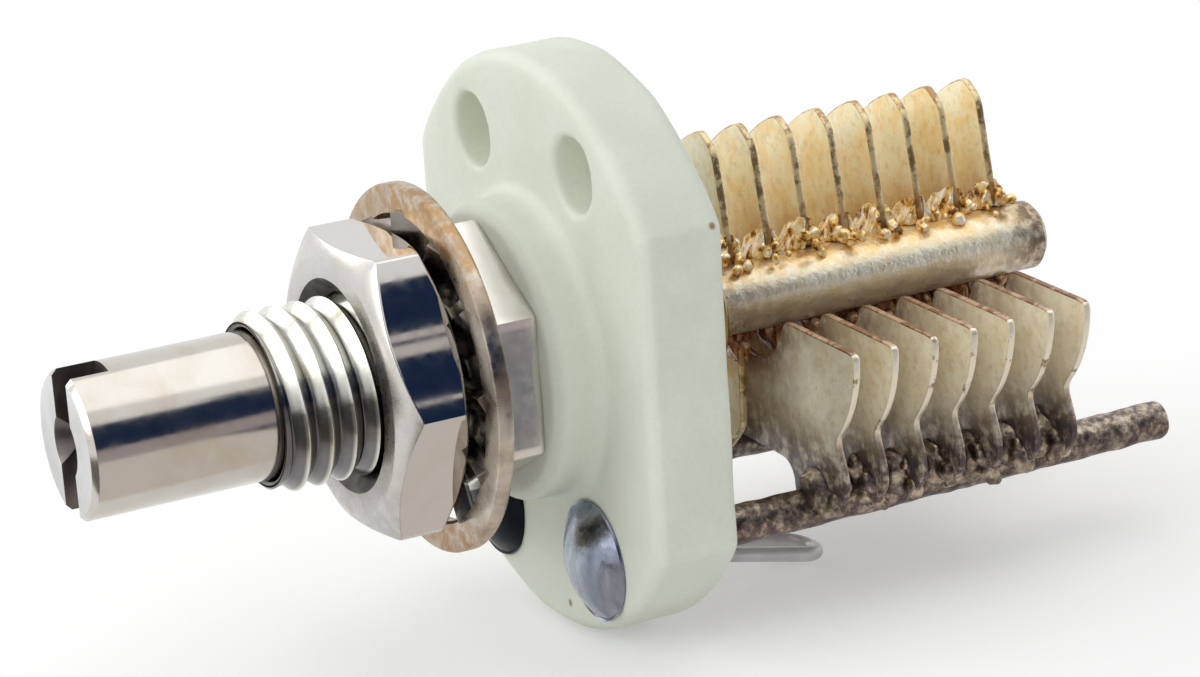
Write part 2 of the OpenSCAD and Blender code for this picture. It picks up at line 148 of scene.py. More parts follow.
class Shader:
    """A Principled material on millimetre object coordinates."""

    def __init__(self, name, metallic=0.0):
        self.mat = bpy.data.materials.new(name)
        self.mat.use_nodes = True
        self.tree = self.mat.node_tree
        self.bsdf = self.tree.nodes["Principled BSDF"]
        self.bsdf.inputs["Metallic"].default_value = metallic
        self.coords = {}

    def link(self, a, b):
        self.tree.links.new(a, b)

    def coord(self, stretch=(1, 1, 1)):
        """Object coordinates in millimetres, times a stretch along each axis."""
        if stretch not in self.coords:
            tex = self.tree.nodes.new("ShaderNodeTexCoord")
            scale = self.tree.nodes.new("ShaderNodeMapping")
            scale.inputs["Scale"].default_value = [s / MM for s in stretch]
            self.link(tex.outputs["Object"], scale.inputs["Vector"])
            self.coords[stretch] = scale.outputs["Vector"]
        return self.coords[stretch]

    def noise(self, scale, detail, rough=0.55, stretch=(1, 1, 1), distort=0.0):
        n = self.tree.nodes.new("ShaderNodeTexNoise")
        n.inputs["Scale"].default_value = scale
        n.inputs["Detail"].default_value = detail
        n.inputs["Roughness"].default_value = rough
        n.inputs["Distortion"].default_value = distort
        self.link(self.coord(stretch), n.inputs["Vector"])
        return n.outputs["Fac"]

    def ramp(self, fac, *stops):
        """Maps a value through (position, value or colour) stops."""
        n = self.tree.nodes.new("ShaderNodeValToRGB")
        ramp = n.color_ramp
        while len(ramp.elements) < len(stops):
            ramp.elements.new(0.5)
        for element, (pos, value) in zip(ramp.elements, sorted(stops, key=lambda s: s[0])):
            element.position = pos
            element.color = (value,) * 3 + (1,) if isinstance(value, (int, float)) else (*value, 1)
        self.link(fac, n.inputs["Fac"])
        return n.outputs["Color"]

    def mix(self, fac, a, b):
        n = self.tree.nodes.new("ShaderNodeMix")
        n.data_type = "RGBA"
        for socket, value in ((n.inputs[0], fac), (n.inputs[6], a), (n.inputs[7], b)):
            if isinstance(value, bpy.types.NodeSocket):
                self.link(value, socket)
            elif isinstance(value, (int, float)):
                socket.default_value = value
            else:
                socket.default_value = (*value, 1)
        return n.outputs[2]

    def spot(self, place, size):
        """1 within a small uneven spot, 0 outside it."""
        n = self.tree.nodes.new("ShaderNodeVectorMath")
        n.operation = "DISTANCE"
        n.inputs[1].default_value = place
        self.link(self.coord(), n.inputs[0])
        return self.ramp(n.outputs["Value"], (size * 0.5, 1.0), (size, 0.0))

    def from_axis(self):
        """Distance from the shaft's axis."""
        n = self.tree.nodes.new("ShaderNodeVectorMath")
        n.operation = "LENGTH"
        self.link(self.coord((1, 0, 1)), n.inputs[0])
        return n.outputs["Value"]

    def along(self, axis):
        """Place along X, Y or Z."""
        n = self.tree.nodes.new("ShaderNodeSeparateXYZ")
        self.link(self.coord(), n.inputs[0])
        return n.outputs[axis]

    def within(self, value, full, none):
        """1 where the value is at full or beyond it, 0 at none, evenly between them."""
        n = self.tree.nodes.new("ShaderNodeMapRange")
        n.inputs["From Min"].default_value = none
        n.inputs["From Max"].default_value = full
        self.link(value, n.inputs["Value"])
        return n.outputs["Result"]

    def product(self, a, b):
        n = self.tree.nodes.new("ShaderNodeMath")
        n.operation = "MULTIPLY"
        for socket, value in zip(n.inputs, (a, b)):
            if isinstance(value, bpy.types.NodeSocket):
                self.link(value, socket)
            else:
                socket.default_value = value
        return n.outputs[0]

    def stained_and_shaded(self, colour, stain_and_shade_layers):
        """Patchy stains and painted shade: each is (colour, measure, value where it is full, where it ends,
        strength).

        The measure is "axis", the distance from the shaft's axis, or the letter of a direction.
        """
        for tone, measure, full, none, strength in stain_and_shade_layers:
            place = self.from_axis() if measure == "axis" else self.along(measure)
            reach = self.within(place, full, none)
            patchy = self.ramp(self.noise(1.9, 5, rough=0.65), (0.38, 0.30), (0.56, 1.0))
            colour = self.mix(self.product(self.product(reach, patchy), strength), colour, tone)
        return colour

    def bump(self, *layers):
        """Layers of (height, depth in millimetres, strength)."""
        last = None
        for height, depth, strength in layers:
            n = self.tree.nodes.new("ShaderNodeBump")
            n.inputs["Distance"].default_value = depth * MM
            n.inputs["Strength"].default_value = strength
            self.link(height, n.inputs["Height"])
            if last:
                self.link(last, n.inputs["Normal"])
            last = n.outputs["Normal"]
        self.link(last, self.bsdf.inputs["Normal"])

    def set(self, **values):
        for name, value in values.items():
            socket = self.bsdf.inputs[name.replace("_", " ")]
            if isinstance(value, bpy.types.NodeSocket):
                self.link(value, socket)
            else:
                socket.default_value = (*value, 1) if isinstance(value, tuple) else value


def ceramic():
    """Cream steatite with a greenish cast, faintly clouded, and two specks."""
    s = Shader("unglazed_ceramic")
    cloud = s.noise(0.32, 4)
    fine = s.noise(7.0, 2)
    cream = s.mix(s.ramp(cloud, (0.35, 0.0), (0.65, 1.0)), (0.765, 0.805, 0.685), (0.825, 0.865, 0.765))
    mottled = s.mix(s.ramp(fine, (0.35, 0.10), (0.6, 0.0)), cream, (0.60, 0.60, 0.47))
    for place, size in SPECKS:
        mottled = s.mix(s.spot(place, size), mottled, (0.36, 0.25, 0.12))
    s.set(Base_Color=mottled,
          Roughness=s.ramp(s.noise(1.3, 3), (0.3, 0.46), (0.7, 0.60)), Specular_IOR_Level=0.45)
    s.bump((s.noise(1.1, 4), 0.05, 0.35), (s.noise(9.0, 3), 0.012, 0.5))
    return s.mat


def plated(name, light, warm, rough, lines, wear=0.5, uneven=0.25, metallic=1.0, stain_and_shade_layers=()):
    """Bright or dull metal with a warm bloom, fine turning lines, rougher patches, and any stains and painted
    shade that it is given.

    The pair rough is the range of roughness, and lines the stretch of the turning lines along each axis.
    """
    s = Shader(name, metallic)
    cloud = s.noise(0.55, 4, distort=0.4)
    colour = s.stained_and_shaded(s.mix(s.ramp(cloud, (0.42, 0.0), (0.72, wear)), light, warm), stain_and_shade_layers)
    dull = s.noise(2.4, 4)
    s.set(Base_Color=colour, Roughness=s.ramp(dull, (0.3, rough[0]), (0.75, rough[1])))
    s.bump((s.noise(1.0, 2, stretch=lines), 0.004, uneven), (s.noise(3.0, 3), 0.006, uneven))
    return s.mat


def thread_metal():
    """Dull nickel, with painted shade: nearly black in the roots of the thread and dark on its lower flanks.
    """
    s = Shader("thread_nickel", metallic=1.0)
    colour = s.mix(s.ramp(s.noise(0.7, 4, distort=0.4), (0.42, 0.0), (0.68, 0.8)),
                   (0.74, 0.74, 0.69), (0.58, 0.54, 0.40))
    # painted shade: nearly black in the thread's roots
    root = s.within(s.from_axis(), THREAD_R - THREAD_DEPTH, THREAD_R - THREAD_DEPTH * 0.6)
    colour = s.mix(s.product(root, 0.7), colour, (0.10, 0.095, 0.09))
    # painted shade: dark on the flanks of the lower side, leaving the crests bright
    flank = s.within(s.from_axis(), THREAD_R - THREAD_DEPTH * 0.28, THREAD_R - THREAD_DEPTH * 0.04)
    below = s.within(s.along("Z"), 0.3, 1.2)
    colour = s.mix(s.product(s.product(flank, below), 0.88), colour, (0.12, 0.115, 0.125))
    s.set(Base_Color=colour, Roughness=s.ramp(s.noise(2.4, 4), (0.3, 0.14), (0.7, 0.28)))
    s.bump((s.noise(1.0, 2, stretch=(0.4, 6, 0.4)), 0.004, 0.3), (s.noise(3.0, 3), 0.012, 0.4))
    return s.mat


def washer_metal():
    """Dull plating, gone tan at the top and the bottom."""
    s = Shader("tarnished_washer", metallic=1.0)
    blotch = s.noise(0.9, 5)
    colour = s.ramp(blotch, (0.34, (0.36, 0.30, 0.24)), (0.48, (0.54, 0.49, 0.43)),
                    (0.64, (0.64, 0.60, 0.54)))
    colour = s.stained_and_shaded(colour, (((0.40, 0.25, 0.12), "Z", 4.6, 2.6, 1.0),
                                ((0.36, 0.21, 0.10), "Z", -4.9, -3.2, 1.0)))
    s.set(Base_Color=colour, Roughness=s.ramp(s.noise(2.5, 4), (0.3, 0.20), (0.7, 0.42)))
    s.bump((s.noise(2.2, 4), 0.02, 0.4), (s.noise(11.0, 2), 0.006, 0.4))
    return s.mat


def plate_metal(name, face, deep, pale, rough, metallic, stain_and_shade_layers):
    """Tinned sheet gone tan and gold, with paler patches, specks, stains where it was soldered, and any
    painted shade that it is given.
    """
    s = Shader(name, metallic)
    tanned = s.noise(0.95, 6, rough=0.65, distort=0.6)
    colour = s.mix(s.ramp(tanned, (0.43, 0.0), (0.62, 0.9)), face, deep)
    colour = s.mix(s.ramp(s.noise(0.5, 3), (0.48, 0.0), (0.72, 0.6)), colour, pale)
    specks = s.noise(3.2, 6, rough=0.7)
    colour = s.mix(s.ramp(specks, (0.50, 0.0), (0.66, 0.28)), colour, (0.40, 0.24, 0.10))
    colour = s.stained_and_shaded(colour, stain_and_shade_layers)
    s.set(Base_Color=colour, Roughness=s.ramp(s.noise(2.0, 4), (0.3, rough[0]), (0.7, rough[1])))
    s.bump((s.noise(0.8, 3), 0.05, 0.35), (s.noise(7.0, 3), 0.012, 0.5))
    return s.mat


def edge_metal(name, light, dark, share, stain_and_shade_layers):
    """A sheet's cut edge, blotched dark."""
    s = Shader(name, metallic=0.55)
    blotch = s.noise(1.6, 6, rough=0.7)
    colour = s.stained_and_shaded(s.ramp(blotch, (share - 0.05, dark), (share + 0.04, light)), stain_and_shade_layers)
    s.set(Base_Color=colour, Roughness=s.ramp(s.noise(2.0, 4), (0.3, 0.26), (0.7, 0.42)))
    s.bump((s.noise(7.0, 3), 0.012, 0.5))
    return s.mat


def spindle_metal():
    """Dull tin on the spindle, gold along its top, brown at both ends, and brown below as painted shade."""
    s = Shader("spindle_plating", metallic=0.75)
    colour = s.mix(s.ramp(s.noise(1.7, 5, distort=0.5), (0.44, 0.0), (0.58, 0.5)),
                   (0.92, 0.88, 0.72), (0.80, 0.66, 0.40))
    colour = s.stained_and_shaded(colour, (((0.92, 0.58, 0.18), "Z", 1.05, 0.55, 0.8),
                                # painted shade: brown on the underside
                                ((0.60, 0.40, 0.27), "Z", -0.9, 0.2, 0.6),
                                ((0.20, 0.14, 0.10), "Y", REAR - 0.6, REAR - 2.6, 1.0),
                                ((0.32, 0.20, 0.12), "Y", ROTORS[0][0].y - 1, ROTORS[1][0].y + 1, 0.6)))
    s.set(Base_Color=colour, Roughness=s.ramp(s.noise(4.0, 3), (0.3, 0.26), (0.7, 0.40)))
    s.bump((s.noise(2.6, 4), 0.06, 0.5), (s.noise(9.0, 3), 0.02, 0.5))
    return s.mat


def fluxed_solder():
    """Cream solder with orange flux and brown specks, with painted shade in dark brown below the shaft's
    axis.
    """
    s = Shader("rotor_solder", metallic=0.6)
    colour = s.ramp(s.noise(2.3, 5, rough=0.65), (0.40, (0.18, 0.08, 0.03)), (0.46, (0.82, 0.46, 0.11)),
                    (0.53, (0.98, 0.79, 0.41)), (0.60, (1.0, 0.96, 0.83)))
    # painted shade: dark brown below the shaft's axis
    under = s.within(s.along("Z"), -0.9, 0.2)
    patchy = s.ramp(s.noise(1.4, 4), (0.40, 0.55), (0.60, 1.0))
    colour = s.mix(s.product(under, patchy), colour, (0.20, 0.065, 0.03))
    s.set(Base_Color=colour, Roughness=s.ramp(s.noise(4.0, 3), (0.3, 0.22), (0.7, 0.42)))
    s.bump((s.noise(2.6, 4), 0.08, 0.6), (s.noise(9.0, 3), 0.02, 0.5))
    return s.mat


def rod_metal(name, grain):
    """Plating and solder gone nearly black, with tan specks, and painted shade below the rods' axes."""
    s = Shader(name, metallic=1.0)
    stain = s.noise(grain, 6, rough=0.7)
    colour = s.ramp(stain, (0.34, (0.07, 0.055, 0.065)), (0.48, (0.20, 0.165, 0.14)),
                    (0.56, (0.42, 0.35, 0.27)), (0.66, (0.64, 0.56, 0.46)))
    # painted shade below the rods' axes
    colour = s.stained_and_shaded(colour, (((0.06, 0.05, 0.065), "Z", ROD_Z - 0.35, ROD_Z + 0.15, 0.8),))
    s.set(Base_Color=colour, Roughness=s.ramp(s.noise(3.0, 3), (0.3, 0.28), (0.7, 0.5)))
    s.bump((s.noise(2.0, 5), 0.06, 0.6), (s.noise(8.0, 3), 0.02, 0.6))
    return s.mat


def head_metal():
    """Blue-grey metal with long smears."""
    s = Shader("blued_rod_head", metallic=1.0)
    smear = s.noise(0.9, 5, stretch=(1.2, 1, 0.5), distort=0.3)
    colour = s.ramp(smear, (0.34, (0.17, 0.19, 0.26)), (0.50, (0.28, 0.31, 0.38)),
                    (0.66, (0.46, 0.49, 0.55)))
    s.set(Base_Color=colour, Roughness=s.ramp(s.noise(2.5, 4), (0.3, 0.16), (0.7, 0.34)))
    s.bump((s.noise(1.6, 4), 0.03, 0.5), (s.noise(7.0, 3), 0.008, 0.5))
    return s.mat


# stains and painted shade, as the shaders take them: flux stains from the soldering round the rotor's
# spindle; on the stator, painted shade towards the spindle, and towards the feet flux stain with painted
# shade
ROTOR_STAINS = (((0.66, 0.34, 0.09), "axis", 1.4, 3.2, 0.8),
                ((0.14, 0.06, 0.03), "axis", 1.2, 2.1, 1.0))
# on the stator: painted shade towards the spindle, under the rotor
STATOR_STAINS_AND_SHADE = (((0.42, 0.26, 0.15), "axis", 2.4, 5.2, 0.6),
                 ((0.18, 0.07, 0.04), "axis", 1.6, 3.0, 1.0),
                 # towards the feet: flux stain from the solder, with painted shade
                 ((0.42, 0.29, 0.18), "Z", ROD_Z + 1.9, ROD_Z + 3.4, 0.9),
                 ((0.09, 0.07, 0.075), "Z", ROD_Z + 1.3, ROD_Z + 2.6, 1.0))
MATERIALS = {
    "ceramic": ceramic(),
    "nickel": plated("bright_nickel", (0.60, 0.575, 0.535), (0.50, 0.42, 0.32), (0.12, 0.22),
                     (0.4, 16, 0.4)),
    "shaft_end": plated("shaft_end", (0.86, 0.87, 0.88), (0.72, 0.70, 0.68), (0.34, 0.46), (1, 1, 1),
                        wear=0.5, uneven=0.2, metallic=0.35),
    # painted shade inside the screwdriver slot
    "slot": plated("slot_painted_shade", (0.20, 0.18, 0.17), (0.10, 0.08, 0.08), (0.3, 0.5), (2, 2, 2), wear=0.8),
    "spindle": spindle_metal(),
    "thread": thread_metal(),
    "flange": plated("flange_nickel", (0.80, 0.765, 0.73), (0.66, 0.60, 0.54), (0.14, 0.24), (1, 1, 1),
                     wear=0.4, uneven=0.1, metallic=0.85),
    "nut": plated("nut_facets", (0.62, 0.60, 0.57), (0.54, 0.50, 0.46), (0.02, 0.05), (1, 1, 1),
                  wear=0.3, uneven=0.003),
    # the nut's face darkens towards the bottom: painted shade
    "nut_face": plated("nut_face", (0.62, 0.60, 0.575), (0.54, 0.50, 0.46), (0.22, 0.32), (0.6, 6, 0.6),
                       wear=0.4, uneven=0.1, stain_and_shade_layers=(((0.34, 0.32, 0.30), "Z", -4.4, -1.0, 0.6),)),
    # painted shade in the nut's bore and countersinks
    "bore": plated("bore_painted_shade", (0.10, 0.09, 0.08), (0.05, 0.05, 0.05), (0.4, 0.6), (1, 1, 1)),
    "washer": washer_metal(),
    # the teeth painted dark: painted shade between the nut and the washer
    "tooth": plated("tooth_painted_shade", (0.24, 0.22, 0.20), (0.10, 0.07, 0.05), (0.14, 0.34), (2, 2, 2),
                    wear=0.9),
    "rotor": plate_metal("rotor_sheet", (1.0, 0.93, 0.66), (1.0, 0.75, 0.36), (1.0, 0.97, 0.84),
                         (0.30, 0.46), 0.20, ROTOR_STAINS),
    "rotor_edge": edge_metal("rotor_edge", (0.76, 0.62, 0.36), (0.26, 0.18, 0.09), 0.49, ROTOR_STAINS),
    # edges that face up on the rotor: a little lighter than its other edges, painted light
    "rotor_top": edge_metal("rotor_top", (0.80, 0.64, 0.38), (0.44, 0.26, 0.11), 0.50, ROTOR_STAINS),
    "rotor_solder": fluxed_solder(),
    "stator": plate_metal("stator_sheet", (1.0, 0.95, 0.76), (0.92, 0.79, 0.56), (1.0, 0.97, 0.86),
                          (0.28, 0.42), 0.30, STATOR_STAINS_AND_SHADE),
    "stator_edge": edge_metal("stator_edge", (0.92, 0.86, 0.70), (0.30, 0.20, 0.12), 0.40, STATOR_STAINS_AND_SHADE),
    # edges that face up on the stator: darker than its other edges, painted shade
    "stator_top": edge_metal("stator_top", (0.66, 0.48, 0.34), (0.28, 0.14, 0.08), 0.50, STATOR_STAINS_AND_SHADE),
    "stator_solder": rod_metal("stator_solder", 1.9),
    "rod": rod_metal("darkened_rod", 2.6),
    "head": head_metal(),
    # the far rod's head, painted nearly black as shade; the near head has the blue-grey metal
    "head_painted_dark_as_shade": plated("rod_head_painted_shade", (0.014, 0.016, 0.022), (0.005, 0.005, 0.007), (0.28, 0.48), (2, 2, 2),
                       wear=0.9),
    "brass": plated("old_brass", (0.55, 0.42, 0.20), (0.35, 0.22, 0.10), (0.25, 0.4), (0.4, 8, 0.4)),
    # the contact spring's bronze, painted dark as the shade behind the base
    "bronze": plated("spring_bronze", (0.22, 0.11, 0.05), (0.10, 0.05, 0.03), (0.25, 0.4), (1, 1, 1)),
    "wire": plated("tinned_wire", (0.80, 0.79, 0.80), (0.56, 0.50, 0.56), (0.30, 0.48), (2, 2, 2),
                   wear=0.7, uneven=0.3, metallic=0.35),
}


# ---------------------------------------------------------------- mesh building

def finished(name, bm, materials, body, node, sharp):
    """Turns a bmesh in millimetres into a piece that rides on a body and stands for a CAD node."""
    bmesh.ops.recalc_face_normals(bm, faces=bm.faces)
    bmesh.ops.scale(bm, vec=(MM, MM, MM), verts=bm.verts)
    for vert in bm.verts:
        # lumps stay inside the CAD model's box
        vert.co = [min(max(c, low), high) for c, low, high in zip(vert.co, *cad_box)]
    mesh = bpy.data.meshes.new(name)
    bm.to_mesh(mesh)
    bm.free()
    for key in materials:
        mesh.materials.append(MATERIALS[key])
    mesh.polygons.foreach_set("use_smooth", [True] * len(mesh.polygons))
    mesh.set_sharp_from_angle(angle=math.radians(sharp))
    piece = bpy.data.objects.new(name, mesh)
    bpy.context.scene.collection.objects.link(piece)
    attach(piece, body)
    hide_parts(node)


def swept(bm, rows, steps, closed=True):
    """Adds a surface of rows of points round the Y axis.

    A row is (radius, y), and each of the two may be a function of the turn.
    """
    rings = []
    for radius, y in rows:
        ring = []
        for k in range(steps):
            turn = TURN * k / steps
            r = radius(turn) if callable(radius) else radius
            along = y(turn) if callable(y) else y
            ring.append(bm.verts.new((r * math.sin(turn), along, r * math.cos(turn))))
        rings.append(ring)
    following = rings[1:] + rings[:1] if closed else rings[1:]
    for a, b in zip(rings, following):
        for k in range(steps):
            n = (k + 1) % steps
            bm.faces.new((a[k], a[n], b[n], b[k]))
    return rings


def cad_copy(node):
    """The CAD node's mesh in millimetres, welded, with its flat faces whole."""
    bm = bmesh.new()
    bm.from_mesh(NODES[node].data)
    bmesh.ops.scale(bm, vec=(1 / MM,) * 3, verts=bm.verts)
    bmesh.ops.remove_doubles(bm, verts=bm.verts, dist=WELD)
    bmesh.ops.dissolve_limit(bm, angle_limit=math.radians(0.6), verts=bm.verts, edges=bm.edges)
    return bm


def soften(bm, width, corner):
    """Rounds every edge sharper than the corner angle, in degrees."""
    edges = [e for e in bm.edges if len(e.link_faces) == 2
             and e.calc_face_angle(0) > math.radians(corner)]
    bmesh.ops.bevel(bm, geom=edges, offset=width, segments=2, profile=0.6, affect="EDGES",
                    clamp_overlap=True)


def remeshed(bm, voxel, rounds):
    """One skin round everything in bm, evened out in some rounds."""
    mesh = bpy.data.meshes.new("skin")
    bm.to_mesh(mesh)
    bm.free()
    holder = bpy.data.objects.new("skin", mesh)
    bpy.context.scene.collection.objects.link(holder)
    skin = holder.modifiers.new("skin", "REMESH")
    skin.mode = "VOXEL"
    skin.voxel_size = voxel
    even = holder.modifiers.new("even", "SMOOTH")
    even.factor = 0.5
    even.iterations = rounds
    result = bmesh.new()
    result.from_object(holder, bpy.context.evaluated_depsgraph_get())
    bpy.data.objects.remove(holder)
    bpy.data.meshes.remove(mesh)
    return result


def lumpy(bm, scale, depth, keep=None):
    """Pushes the surface in and out by noise, leaving points where keep gives 0."""
    bm.normal_update()
    moves = [(v, v.normal * depth * noise.noise(v.co * scale) * (keep(v.co) if keep else 1))
             for v in bm.verts]
    for v, move in moves:
        v.co += move


def hex_radius(across_flats, first_corner):
    """Radius of a hexagon's outline at a turn from the top, with its corners a little rounded."""
    flat = across_flats / 2
    corner = flat / math.cos(math.radians(30)) - CORNER_CUT

    def radius(turn):
        off = (turn - first_corner) % (TURN / 6) - TURN / 12
        return min(flat / math.cos(off), corner)
    return radius


# ---------------------------------------------------------------- the pieces

def make_base():
    """The ceramic disc with every edge softened, as fired ceramic has."""
    bm = remeshed(cad_copy("ceramic_base"), CERAMIC_VOXEL, 9)
    lumpy(bm, 0.55, 0.035)
    finished("base_ceramic", bm, ["ceramic"], "stator", "ceramic_base", sharp=60)


def add_thread(bm, front, rear, steps):
    """A right-hand V thread with slightly rounded crests, cut down to a chamfer at its front."""
    turns = math.ceil((rear - front) / THREAD_PITCH) + 1
    grid = []
    for k in range(-2, turns):
        for share, height in THREAD_PROFILE:
            line = []
            for step in range(steps + 1):
                turn = TURN * step / steps
                y = front + (k + share + turn / TURN) * THREAD_PITCH
                y = min(max(y, front), rear)
                r = THREAD_R - THREAD_DEPTH * (1 - height)
                r = min(r, NOSE_R + (y - front) * CHAMFER_RISE)
                line.append(bm.verts.new((r * math.sin(turn), y, r * math.cos(turn))))
            grid.append(line)
    for a, b in zip(grid, grid[1:]):
        for k in range(steps):
            bm.faces.new((a[k], a[k + 1], b[k + 1], b[k]))
    bmesh.ops.remove_doubles(bm, verts=bm.verts, dist=WELD)


def make_bushing():
    """Threaded front, hexagon, tail and spun lip, turned round one bore."""
    front, rear = BUSHING[0].y, BUSHING[1].y
    outline = hex_radius(HEX_AF, 0)
    core = THREAD_R - THREAD_DEPTH - 0.05  # just under the thread's roots
    rows = [(BORE_R, front + 0.16), (BORE_R + 0.05, front + 0.05), (BORE_R + 0.12, front),
            (NOSE_R, front), (core, front + 0.3), (core, HEX_FRONT),
            (lambda t: outline(t) - 0.16, HEX_FRONT),
            (lambda t: outline(t) - 0.07, HEX_FRONT + 0.03), (lambda t: outline(t) - 0.015, HEX_FRONT + 0.09),
            (outline, HEX_FRONT + 0.18), (outline, HEX_FRONT + 0.22), (outline, HEX_REAR - 0.18),
            (outline, HEX_REAR - 0.14), (lambda t: outline(t) - 0.04, HEX_REAR - 0.04),
            (lambda t: outline(t) - 0.14, HEX_REAR), (TAIL_R, HEX_REAR), (TAIL_R, LIP_FRONT),
            (LIP_R - 0.06, LIP_FRONT), (LIP_R, LIP_FRONT + 0.08), (LIP_R, rear - 0.14),
            (LIP_R - 0.12, rear - 0.02), (LIP_R - 0.3, rear), (NARROW_R + 0.25, rear),
            (NARROW_R, rear - 0.08), (NARROW_R, SHOULDER_Y + 0.1), (BORE_R, SHOULDER_Y + 0.1)]
    bm = bmesh.new()
    swept(bm, rows, BUSHING_STEPS)
    for face in bm.faces:
        middle = face.calc_center_median()
        out = math.hypot(middle.x, middle.z)
        face.material_index = int(middle.y > HEX_FRONT - 0.01 and out > TAIL_R)
    add_thread(bm, front, HEX_FRONT + 0.1, THREAD_STEPS)
    finished("bushing_body", bm, ["thread", "flange"], "stator", "bushing", sharp=40)


def make_nut():
    """A hexagon nut, its facets kept flat by rows close to their edges."""
    front, rear = NUT[0].y, NUT[1].y
    outline = hex_radius(NUT_AF, NUT_TURN)
    flat = NUT_AF / 2
    bore = THREAD_R + NUT_PLAY

    def depth(turn, cut):
        # the turned chamfer cuts deeper where the outline reaches further out
        return (outline(turn) - flat + cut) * NUT_CHAMFER

    rows = [(bore, rear - NUT_SINK), (bore, front + NUT_SINK), (bore + NUT_SINK - 0.05, front + 0.03),
            (bore + NUT_SINK + 0.01, front), (flat - 0.42, front), (flat - 0.33, front + 0.015)]
    rows += [(lambda t: outline(t) - 0.04, lambda t: front + depth(t, 0.35) - 0.01),
             (lambda t: outline(t) - 0.01, lambda t: front + depth(t, 0.35) + 0.015),
             (outline, lambda t: front + depth(t, 0.35) + 0.05),
             (outline, lambda t: front + depth(t, 0.35) + 0.08),
             (outline, lambda t: rear - depth(t, 0.1) - 0.08),
             (outline, lambda t: rear - depth(t, 0.1) - 0.05),
             (lambda t: outline(t) - 0.01, lambda t: rear - depth(t, 0.1) - 0.015),
             (lambda t: outline(t) - 0.05, lambda t: rear - depth(t, 0.1) + 0.02),
             (flat - 0.12, rear - 0.01), (flat - 0.2, rear), (bore + NUT_SINK, rear)]
    bm = bmesh.new()
    swept(bm, rows, NUT_STEPS)
    bm.normal_update()
    for face in bm.faces:
        middle = face.calc_center_median()
        inside = math.hypot(middle.x, middle.z) < bore + NUT_SINK - 0.02
        # the bore and its countersinks get the painted shade
        face.material_index = 2 if inside else int(abs(face.normal.y) > 0.2)
    finished("nut_body", bm, ["nut", "nut_face", "bore"], "stator", "panel_nut", sharp=24)


def make_washer():
    """A flat rim with twisted inner teeth, painted dark as the shade between the nut and the washer."""
    middle = (WASHER[0].y + WASHER[1].y) / 2
    front, rear = middle - WASHER_T / 2, middle + WASHER_T / 2
    edge = 0.09
    bm = bmesh.new()
    swept(bm, [(RIM_INNER, front + edge), (RIM_INNER + edge, front), (RIM_OUTER - edge, front),
               (RIM_OUTER - edge * 0.3, front + edge * 0.3), (RIM_OUTER, front + edge),
               (RIM_OUTER, rear - edge), (RIM_OUTER - edge * 0.3, rear - edge * 0.3),
               (RIM_OUTER - edge, rear), (RIM_INNER + edge, rear), (RIM_INNER, rear - edge)], 144)
    rim = len(bm.faces)
    for k in range(TOOTH_COUNT):
        tooth = bmesh.ops.create_cube(bm, size=1)["verts"]
        length = RIM_INNER + 0.2 - TOOTH_TIP  # the tooth's root reaches into the rim
        for v in tooth:
            v.co = Vector((v.co.x * length + TOOTH_TIP + length / 2, v.co.y * WASHER_T, v.co.z * TOOTH_W))
        edges = {e for v in tooth for e in v.link_edges}
        made = bmesh.ops.bevel(bm, geom=list(edges), offset=0.07, segments=2, profile=0.6, affect="EDGES")
        verts = {v for f in made["faces"] for v in f.verts}
        place = (Matrix.Translation((0, middle, 0)) @ Matrix.Rotation(TURN * k / TOOTH_COUNT, 4, "Y")
                 @ Matrix.Rotation(TOOTH_TWIST, 4, "X"))
        for v in verts:
            v.co = place @ v.co
    bm.faces.ensure_lookup_table()
    # the teeth get their painted shade
    for face in bm.faces[rim:]:
        face.material_index = 1
    finished("washer_body", bm, ["washer", "tooth"], "stator", "lock_washer", sharp=35)


def make_shaft():
    """The CAD shaft with rounded edges, and its own finish at the end and on the spindle, with painted shade
    in the slot.
    """
    bm = cad_copy("rotor_shaft")
    soften(bm, 0.05, 32)
    split = SHOULDER_Y + 0.01
    for face in bm.faces:
        middle = face.calc_center_median()
        deep = middle.y - SHAFT[0].y
        # the inside of the slot gets the painted shade
        inside = math.hypot(middle.x, middle.z) < SHAFT_R - 0.3 and 0.05 < deep < SLOT_DEPTH + 0.5
        front = face.normal.y < -0.9 and deep < 0.3
        face.material_index = 1 if middle.y > split else 2 if inside else 3 if front else 0
    finished("shaft_body", bm, ["nickel", "spindle", "slot", "shaft_end"], "rotor", "rotor_shaft",
             sharp=30)


def evened(points, step, rounds):
    """The same closed outline in equal steps, with its corners rounded off."""
    lengths = [(Vector(b) - Vector(a)).length for a, b in zip(points, points[1:] + points[:1])]
    count = int(sum(lengths) / step)
    even = []
    for k in range(count):
        way = sum(lengths) * k / count
        for a, b, length in zip(points, points[1:] + points[:1], lengths):
            if way <= length:
                break
            way -= length
        even.append(Vector(a).lerp(Vector(b), min(way / max(length, 1e-9), 1)))
    for _ in range(rounds):
        even = [(even[k - 1] + 2 * even[k] + even[(k + 1) % count]) / 4 for k in range(count)]
    return even


